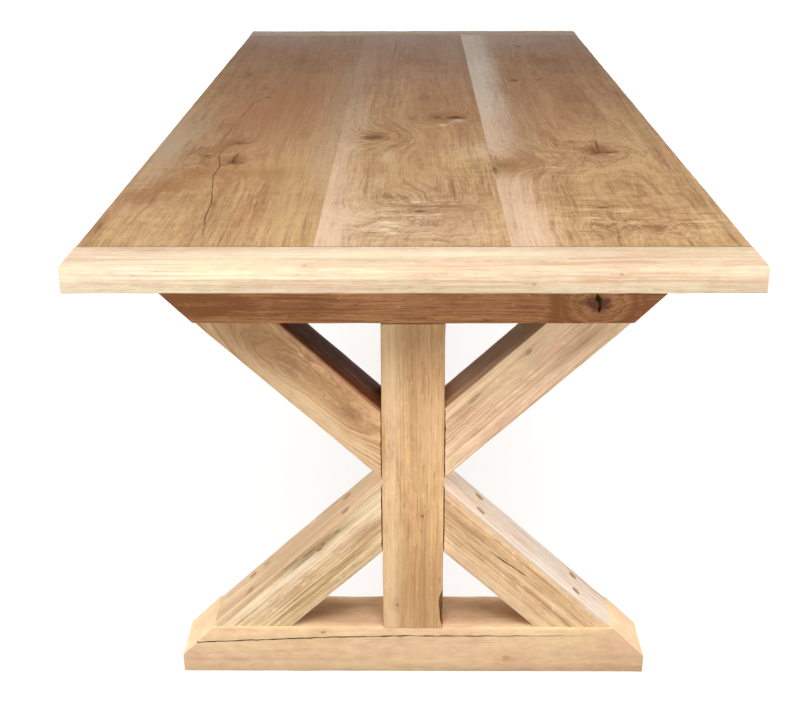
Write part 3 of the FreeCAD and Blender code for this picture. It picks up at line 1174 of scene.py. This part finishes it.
middle_cracks = (
    (1.6, 3, (-57, 560), (-56, 640), (-50, 880), (-47, 1085)),
    (2.6, 4, (-104, -366), (-84, -354), (-60, -338)),
    (1.8, 4, (38, -148), (73, -150), (110, -156)),
    (1.8, 3, (2, -912), (18, -904), (36, -902)),
)
right_cracks = (
    (2.2, 5, (141, -662), (147, -632), (150, -602)),
    (2.8, 3, (328, -511), (346, -496), (357, -486), (373, -488), (396, -477)),
    (2.6, 3, (356, -494), (359, -423), (365, -356)),
    (1.2, 2, (364, -375), (374, -277), (371, -160)),
    (1.2, 2, (345, -515), (346, -584), (347, -650)),
    (2.0, 3, (292, -888), (308, -886), (324, -881)),
)
for name, piece, cracks in (
    ("left", left_plank, left_cracks),
    ("middle", middle_plank, middle_cracks),
    ("right", right_plank, right_cracks),
):
    for width, depth, *places in cracks:
        crack(piece, line_on(on_top, places), UP, width, depth, top_crack_shade, plank_crack_sway)
    complete(piece, "plank_oak", f"top_plank_{name}")


board_wander = 3


def breadboard(end, pith, knots, tone):
    """Cross board on the planks' ends, with the mouths of its blind peg holes below."""
    low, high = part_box(f"breadboard_{end}")
    lie = Lie((low + high) / 2, RIGHT, BACK)
    size = high - low
    outer = -1 if end == "front" else 1
    eases = {}
    for through in (-1, 1):
        eases[(outer, through)] = outer_ease
        eases[(-outer, through)] = board_ease
    piece = timber(f"breadboard_board_{end}", lie, size, eases)
    places = [Knot(place, *looks) for place, *looks in knots]
    finish = oak(f"oak_breadboard_{end}", lie, tone, pith, places, wander=board_wander)
    piece.data.materials.append(finish)
    peg_low, peg_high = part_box(f"breadboard_pegs_{end}")
    middle_y = (peg_low.y + peg_high.y) / 2
    for name in ("left", "middle", "right"):
        plank_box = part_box(f"top_plank_{name}")
        foot_of_peg = Vector(((plank_box[0].x + plank_box[1].x) / 2, middle_y, low.z))
        hole = breadboard_peg_diameter + 2 * plug_ring
        inside = foot_of_peg + UP * breadboard_peg_mouth
        drill(piece, hole, foot_of_peg - UP * drill_overrun, inside, hole_shade)
    complete(piece, "pale_oak", f"breadboard_{end}")
    return piece


front_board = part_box("breadboard_front")
front_edge = front_board[0].y
board_knots = (
    (on_top(-153, -1192), 5, 4, 0.4, 0.3, 6),
    (Vector((170 * mm, front_edge, 735 * mm)), 5, 6, 0.4, 0.3, 3),
    (Vector((292 * mm, front_edge, 749 * mm)), 5, 6, 0.4, 0.3, 3),
)
front_board_pith = (30, -160)
rear_board_pith = (-40, -150)
boards = (
    breadboard("front", front_board_pith, board_knots, pale_tone),
    # The far board's tone holds painted falloff and reflection
    breadboard("rear", rear_board_pith, (), far_dimmed_pale_tone),
)


# Trestles


def bearing_timber(name, node, way, pith, tone, figure):
    """Beam or foot, with its ends bevelled towards the post."""
    low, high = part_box(node)
    lie = Lie((low + high) / 2, RIGHT, UP)
    size = high - low
    piece = timber(name, lie, (size.x, size.z, size.y), even_eases(arris))
    bearing = high.z if way > 0 else low.z
    for side in SIDES.values():
        corner = Vector((side * (high.x - foot_bevel), 0, bearing))
        trim(piece, corner, (RIGHT * side + UP * way).normalized())
    piece.data.materials.append(oak(f"oak_{name}", lie, tone, pith, *marks(node), figure=figure))
    return piece


def upright(end, pith):
    low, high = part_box(f"{end}_post")
    low.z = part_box(f"{end}_foot")[1].z
    high.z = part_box(f"{end}_top_beam")[0].z
    lie = Lie((low + high) / 2, UP, -RIGHT)
    size = high - low
    piece = timber(f"{end}_upright", lie, (size.z, size.x, size.y), even_eases(arris))
    finish = oak(f"oak_{end}_upright", lie, post_tone, pith, *marks(f"{end}_post"))
    piece.data.materials.append(finish)
    if end == "front":
        notch = Vector((high.x + wane_overhang, low.y - wane_inset, low.z + wane_rise))
        wane(piece, notch, wane_radii, bark_shade)
    complete(piece, "timber_oak", f"{end}_post")


class Brace:
    """Measures of one brace, from its solid's box."""

    def __init__(self, end, level, side):
        self.node = f"{end}_brace_{level}_{side}"
        low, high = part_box(self.node)
        self.way = WAYS[level]
        self.side = SIDES[side]
        self.centre_y = (low.y + high.y) / 2
        self.depth = high.y - low.y
        self.rise = high.z - low.z
        self.bearing = low.z if self.way > 0 else high.z
        self.reach = max(abs(low.x), abs(high.x))
        self.post_face = min(abs(low.x), abs(high.x))
        self.slope = math.atan2(self.rise, self.reach - self.post_face)
        self.run = self.point(0, self.reach) - self.point(self.rise, self.post_face)
        self.run = -self.run.normalized()
        self.outward = Vector((self.side * math.sin(self.slope), 0, self.way * math.cos(self.slope)))
        outer_middle = self.point(self.rise / 2, (self.reach + self.post_face) / 2)
        self.middle = outer_middle - self.outward * (brace_width / 2)
        self.lie = Lie(self.middle, self.run, (-BACK).cross(self.run))

    def point(self, height, across):
        return Vector((self.side * across, self.centre_y, self.bearing + self.way * height))

    def plugs(self):
        """Each plug's place on the joint face, and its direction out of the brace."""
        height = self.rise - brace_screw_inset * math.tan(self.slope)
        mouths = (
            (self.point(height, self.post_face), RIGHT * self.side),
            (self.point(0, self.reach - brace_screw_inset), UP * self.way),
        )
        for mouth, outward in mouths:
            for shift in (-brace_screw_spacing / 2, brace_screw_spacing / 2):
                yield mouth + BACK * shift, outward

    def surface(self, mouth, outward):
        """Where a plug's middle line meets the brace's outer face."""
        outer = self.point(0, self.reach)
        travel = self.outward.dot(outer - mouth) / self.outward.dot(outward)
        return mouth + outward * travel


def brace(measures, pith, cracks, tone, figure, fine):
    name = measures.node.replace("brace", "strut")
    length = math.hypot(measures.rise, measures.reach) + brace_width
    piece = timber(name, measures.lie, (length, brace_width, measures.depth), even_eases(arris))
    trim(piece, measures.point(0, 0), -UP * measures.way)
    trim(piece, measures.point(0, measures.post_face), -RIGHT * measures.side)
    knots, tints = marks(measures.node)
    if measures.node == pinned_brace:
        mouth, outward = list(measures.plugs())[-1]
        pin = measures.surface(mouth, outward) + measures.run * pin_rise
        knots.append(Knot(pin, *pin_knot))
    half_width = measures.outward * (brace_width / 2)
    # An upper brace's inner face gets painted shade on the left and a light pink tint on the right
    if measures.way < 0:
        tints.append(Tint(measures.middle - half_width, *face_tint, *inner_face_shade_and_tint[measures.side]))
    else:
        tints.append(Tint(measures.middle + half_width, *face_tint, *outer_face[measures.side]))
    finish = oak(f"oak_{name}", measures.lie, tone, pith, knots, tints, figure=figure, fine=fine)
    piece.data.materials.append(finish)
    for mouth, outward in measures.plugs():
        surface = measures.surface(mouth, outward)
        start = surface - outward * plug_depth
        outside = surface + outward * plug_drill_overrun
        drill(piece, plug_diameter + 2 * plug_ring, start, outside, hole_shade)
    for width, depth, line in cracks:
        crack(piece, line, -BACK, width, depth, crack_shade)
    shown = BACK if measures.centre_y > 0 else -BACK
    overrun = brace_width / 2
    joint_foot = measures.rise - brace_width / math.cos(measures.slope) - overrun
    joint_line = []
    for height in (joint_foot, measures.rise + overrun):
        joint_line.append(measures.point(height, measures.post_face) + shown * (measures.depth / 2))
    crack(piece, joint_line, shown, joint_gap, joint_gap_depth, crack_shade, joint_sway)
    complete(piece, "timber_oak", measures.node)


plug_pith = (7, 300)
plug_figure = 1.2


def plugs(end, all_measures):
    """The trestle's wooden plugs, each trimmed along its brace's sloping face."""
    made = []
    for measures in all_measures:
        for mouth, outward in measures.plugs():
            surface = measures.surface(mouth, outward)
            start = surface - outward * (plug_depth - plug_seat)
            plug = rod("plug", plug_diameter, start, surface + outward * plug_spare)
            trim(plug, surface + measures.outward * plug_proud, measures.outward)
            made.append(plug)
    bpy.ops.object.select_all(action="DESELECT")
    for plug in made:
        plug.select_set(True)
    bpy.context.view_layer.objects.active = made[0]
    bpy.ops.object.join()
    group = bpy.context.object
    group.name = f"{end}_plug_set"
    group.data.name = group.name
    lie = Lie(Vector((0, all_measures[0].centre_y, 0)), BACK, UP)
    finish = oak(f"oak_{end}_plugs", lie, plug_tone, plug_pith, figure=plug_figure)
    group.data.materials.append(finish)
    complete(group, "plug_oak", f"{end}_brace_plugs")


# Marks on the near trestle, as x, z and looks: knots, then tints
near_knots = {
    "front_brace_upper_left": (
        (-194, 566, 26, 14, 0.3, 2.2, 400, 0.3),
        (-97, 478, 22, 12, 0.32, 2.0, 400, 0.3),
        (-238, 588, 30, 12, 0.04, 1.6, 400, 0.2),
        (-140, 530, 26, 10, 0.04, 1.4, 400, 0.2),
    ),
    "front_brace_upper_right": ((177, 585, 6, 4, 0.5, 1.0), (97, 508, 18, 4, 0.35, 0.6)),
    "front_brace_lower_left": (
        (-147, 245, 6, 3, 0.8, 0.4),
        (-154, 236, 6, 3, 0.8, 0.4),
        (-170, 231, 16, 2, 0.7, 0.4),
        (-124, 269, 7, 2, 0.6, 0.4),
        (-200, 208, 22, 2, 0.5, 0.4),
    ),
    "front_brace_lower_right": ((135, 226, 14, 4, 0.2, 0.6),),
    "front_post": ((-26, 133, 4, 3, 0.8, 0.6), (15, 301, 4, 3, 0.8, 0.6), (-38, 430, 14, 2, 0.4, 0.4)),
    "front_foot": ((-151, 79, 6, 3, 0.8, 0.6), (157, 28, 8, 5, 0.3, 0.8)),
    "front_top_beam": ((282, 664, 17, 13, 0.95, 1.8), (262, 668, 12, 5, 0.5, 0.6)),
}
pinned_brace = "front_brace_lower_left"
near_tints = {
    "front_brace_upper_left": (
        (-184, 508, 320, 20, 0.65, pale_strip),
        # Dark brown corner at the top: partly figure, partly painted shade under the beam
        (-262, 620, 80, 44, 0.75, brown_figure),
        # Dark strip: painted shade at the brace's top, under the beam
        (-148, 628, 40, 7, 0.7, painted_shade_brown),
        (-190, 566, 60, 24, 0.5, brown_figure),
        (-136, 531, 60, 16, 0.4, brown_figure),
        (-97, 478, 44, 20, 0.55, brown_figure),
    ),
    "front_brace_upper_right": (
        (133, 553, 220, 12, 0.6, pale_strip),
        (262, 600, 40, 10, 0.5, brown_figure),
    ),
    "front_brace_lower_left": (
        (-137, 174, 250, 12, 0.22, olive_brown),
        (-150, 236, 240, 15, 0.6, cream_band),
        (-160, 236, 60, 4, 0.8, olive_streak),
        (-150, 250, 30, 1.6, 0.9, olive_streak),
        (-172, 221, 45, 1.6, 0.9, olive_streak),
        (-188, 221, 40, 1.6, 0.8, olive_line),
        (-128, 263, 36, 1.6, 0.8, olive_line),
        (-178, 157, 80, 1.8, 0.9, olive_line),
        (-160, 158, 60, 1.5, 0.8, olive_line),
        (-205, 122, 50, 1.6, 0.9, olive_line),
        (-110, 212, 40, 1.6, 0.8, olive_line),
        (-205, 204, 50, 4, 0.7, olive_brown),
        (-108, 280, 46, 6, 0.6, olive_brown),
        (-215, 205, 60, 3, 0.5, brown_figure),
        (-128, 283, 60, 2, 0.6, brown_figure),
        (-190, 168, 70, 1.8, 0.7, brown_figure),
        (-120, 206, 55, 1.8, 0.7, brown_figure),
        (-205, 140, 60, 2, 0.7, brown_figure),
        (-80, 270, 30, 8, 0.6, brown_figure),
    ),
    "front_brace_lower_right": (
        (131, 166, 220, 10, 0.6, pale_strip),
        # A thin dark line just under the front face's upper edge
        (84, 280, 60, 5, 0.6, brown_figure),
    ),
    "front_post": (
        (-34, 360, 700, 15, 0.5, pale_strip),
        # Darker top of the post: painted shade under the tabletop
        (10, 610, 70, 60, 0.6, brown_figure),
        (28, 450, 60, 14, 0.45, rosy_oak),
        # Darker towards the foot
        (8, 140, 120, 60, 0.52, brown_figure),
    ),
}


def marks(node):
    """A timber's knots and tints, on the near trestle's near face."""
    knots = placed(Knot, on_front, near_knots.get(node, ()))
    tints = placed(Tint, on_front, near_tints.get(node, ()))
    return knots, tints


brace_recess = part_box("front_brace_lower_left")[0].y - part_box("front_post")[0].y
brace_crack_line = []
for place in line_on(on_front, ((122, 238), (150, 214), (194, 182))):
    brace_crack_line.append(place + BACK * brace_recess)
brace_cracks = {"front_brace_lower_right": ((2.4, 7, brace_crack_line),)}
first_pith = (260, -70)
pith_step = (30, -9)

for end_number, end in enumerate(ENDS):
    all_measures = []
    for level in WAYS:
        for side in SIDES:
            measures = Brace(end, level, side)
            number = len(all_measures) + 4 * end_number
            aside, inward = (first + step * number for first, step in zip(first_pith, pith_step))
            pith = (measures.side * aside, inward)
            cracks = brace_cracks.get(measures.node, ())
            brace(measures, pith, cracks, *brace_looks.get(measures.node, plain_looks))
            all_measures.append(measures)
    plugs(end, all_measures)

post_piths = {"front": (34, -60), "rear": (-28, -75)}
foot_piths = {"front": (12, -80), "rear": (-18, -90)}
beam_pith = (-15, -85)
foot_figure = 0.28
beam_figure = 2.0

# Drying cracks as width, depth, sway, whether the start is open, and points of x and z
foot_cracks = (
    (2.6, 12, 1.2, True, (-365, 58), (-300, 62), (-190, 67), (-22, 72), (147, 72), (330, 73)),
    (2.6, 6, 0.5, False, (-364, 56), (-363, 72)),
)
beam_cracks = ((9, 9, 1.6, False, (277, 682), (283, 664), (281, 648)),)


def near_cracks(piece, rows):
    for width, depth, sway, open_start, *places in rows:
        crack(piece, line_on(on_front, places), -BACK, width, depth, crack_shade, sway, open_start)


for end in ENDS:
    upright(end, post_piths[end])

for end in ENDS:
    foot = bearing_timber(f"{end}_footing", f"{end}_foot", 1, foot_piths[end], foot_tone, foot_figure)
    if end == "front":
        near_cracks(foot, foot_cracks)
    complete(foot, "timber_oak", f"{end}_foot")

for end in ENDS:
    node = f"{end}_top_beam"
    # The beam's tone holds painted shade under the tabletop
    beam = bearing_timber(f"{end}_cross_beam", node, -1, beam_pith, beam_shaded_tone, beam_figure)
    if end == "front":
        near_cracks(beam, beam_cracks)
    low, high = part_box(node)
    middle_y = (low.y + high.y) / 2
    end_place = high.x - top_screw_end_inset
    inner_places = (left_seam + top_screw_seam_inset, right_seam - top_screw_seam_inset)
    stagger = top_screw_stagger
    for x in (-end_place, *inner_places, end_place):
        mouth = Vector((x, middle_y + stagger, low.z - drill_overrun))
        roof = Vector((x, middle_y + stagger, high.z - counterbore_roof))
        drill(beam, counterbore_diameter, mouth, roof, hole_shade)
        stagger = -stagger
    complete(beam, "timber_oak", node)

# Stretcher between the posts

low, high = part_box("stretcher")
low.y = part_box("front_post")[1].y
high.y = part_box("rear_post")[0].y
rail_lie = Lie((low + high) / 2, BACK, UP)
rail_size = (high.y - low.y, high.z - low.z, high.x - low.x)
rail_pith = (10, -70)
rail = timber("stretcher_rail", rail_lie, rail_size, even_eases(arris))
rail.data.materials.append(oak("oak_stretcher", rail_lie, base_tone, rail_pith))
complete(rail, "timber_oak", "stretcher")

# Solids that stay: hidden splines and pegs, screws and washers

spline_lie = Lie(Vector((0, 0, 0)), BACK, -RIGHT)
spline_pith = (300, -40)
hidden_oak = oak("oak_hidden", spline_lie, base_tone, spline_pith)
bright_steel = steel()
kept = {f"plank_spline_{side}": hidden_oak for side in SIDES}
for end in ENDS:
    kept[f"breadboard_pegs_{end}"] = hidden_oak
    kept[f"{end}_stretcher_pegs"] = hidden_oak
    for fixing in ("brace_screws", "top_screws", "top_washers"):
        kept[f"{end}_{fixing}"] = bright_steel
for node, material in kept.items():
    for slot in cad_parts[node].material_slots:
        slot.material = material

# Floor, light and camera

floor_size = 80
floor_white = 0.93
floor_roughness = 0.9
room_light = 0.09
floor = added("floor", bpy.ops.mesh.primitive_plane_add, size=floor_size)
floor_finish = Finish("pale_floor", floor_roughness)
floor_finish.set("Base Color", grey(floor_white))
floor.data.materials.append(floor_finish.material)

world = bpy.data.worlds.new("studio")
bpy.context.scene.world = world
world.use_nodes = True
room = world.node_tree.nodes["Background"]
room.inputs["Color"].default_value = grey(1)
room.inputs["Strength"].default_value = room_light


def lamp(name, kind, place, target, power):
    data = bpy.data.lights.new(name, kind)
    data.energy = power
    lit = bpy.data.objects.new(name, data)
    bpy.context.scene.collection.objects.link(lit)
    lit.location = place
    lit.rotation_euler = (target - place).to_track_quat("-Z", "Y").to_euler()
    return lit


def link(light, state, pieces):
    """Gives a light only some pieces to light, or leaves them out."""
    lit = bpy.data.collections.new(f"{light.name}_pieces")
    for piece in pieces:
        lit.objects.link(piece)
    for entry in lit.collection_objects:
        entry.light_linking.link_state = state
    light.light_linking.receiver_collection = lit


near_planks = Vector((0, -0.9, 0.7))
near_trestle = Vector((0, -0.7, 0.3))
table_middle = Vector((0, 0, 0.74))
overhead_power = 112
overhead_size = 2.2
overhead = lamp("overhead_softbox", "AREA", Vector((0, -2.3, 3.3)), near_planks, overhead_power)
overhead.data.size = overhead_size
softboxes = []
for name, place, aim, power, width, height in (
    ("front_softbox", Vector((0, -5.2, 0.7)), near_trestle, 117, 3.0, 1.0),
    ("left_softbox", Vector((-3.4, -0.6, 2.3)), near_trestle, 165, 2.4, 0.8),
    ("right_softbox", Vector((3.4, -0.6, 2.3)), near_trestle, 145, 2.4, 0.8),
    ("rear_softbox", Vector((0, 4.6, 0.5)), Vector((0, 0.9, 0.36)), 60, 2.4, 0.8),
    ("left_edge_light", Vector((-4, 0, 0.45)), table_middle, 90, 3.0, 0.4),
    ("right_edge_light", Vector((4, 0, 0.45)), table_middle, 90, 3.0, 0.4),
):
    softbox = lamp(name, "AREA", place, aim, power)
    softbox.data.shape = "RECTANGLE"
    softbox.data.size = width
    softbox.data.size_y = height
    softboxes.append(softbox)
floor_middle = Vector((0, 0, 0))
daylight_power = 0.5
daylight_spread = math.radians(60)
floor_light_power = 4.4
floor_light_spread = math.radians(90)
daylight = lamp("wide_daylight", "SUN", Vector((0, -1.4, 6)), floor_middle, daylight_power)
daylight.data.angle = daylight_spread
floor_light = lamp("floor_light", "SUN", Vector((0, -1, 6)), floor_middle, floor_light_power)
floor_light.data.use_shadow = False
floor_light.data.angle = floor_light_spread
tabletop = [left_plank, middle_plank, right_plank, *boards]
rear_pieces = [bpy.data.objects[name] for name in rear_names]
front_softbox, left_softbox, right_softbox, rear_softbox, *edge_lights = softboxes
for light in (daylight, overhead, front_softbox):
    link(light, "EXCLUDE", [floor])
for light in (left_softbox, right_softbox):
    link(light, "EXCLUDE", [floor, *tabletop])
link(floor_light, "INCLUDE", [floor])
link(rear_softbox, "INCLUDE", rear_pieces)
for light in edge_lights:
    link(light, "INCLUDE", tabletop)
floor.visible_diffuse = False

# White backdrop far behind the floor's edge, seen only directly
globe = {"segments": 48, "ring_count": 24, "radius": 60}
backdrop = added("backdrop", bpy.ops.mesh.primitive_uv_sphere_add, **globe)
backdrop_finish = Finish("white_backdrop", 1.0)
backdrop_finish.set("Emission Color", grey(1))
backdrop_finish.set("Emission Strength", 1.0)
backdrop.data.materials.append(backdrop_finish.material)
for ray in ("diffuse", "glossy", "transmission", "shadow"):
    setattr(backdrop, f"visible_{ray}", False)

forward = Vector(
    (
        math.sin(turn_right) * math.cos(tilt_down),
        math.cos(turn_right) * math.cos(tilt_down),
        -math.sin(tilt_down),
    )
)
level_right = Vector((math.cos(turn_right), -math.sin(turn_right), 0))
level_down = forward.cross(level_right)
view_right = level_right * math.cos(lean) + level_down * math.sin(lean)
view_down = level_down * math.cos(lean) - level_right * math.sin(lean)
camera_data = bpy.data.cameras.new("camera")
camera_data.sensor_fit = "HORIZONTAL"
camera_data.sensor_width = sensor_width
camera_data.lens = sensor_width * focal_pixels / picture_width
camera_data.clip_end = view_depth
camera = bpy.data.objects.new("camera", camera_data)
bpy.context.scene.collection.objects.link(camera)
camera_turn = Matrix((view_right, -view_down, -forward)).transposed()
camera.matrix_world = Matrix.Translation(eye) @ camera_turn.to_4x4()
bpy.context.scene.camera = camera
bpy.context.scene.view_settings.view_transform = "Standard"
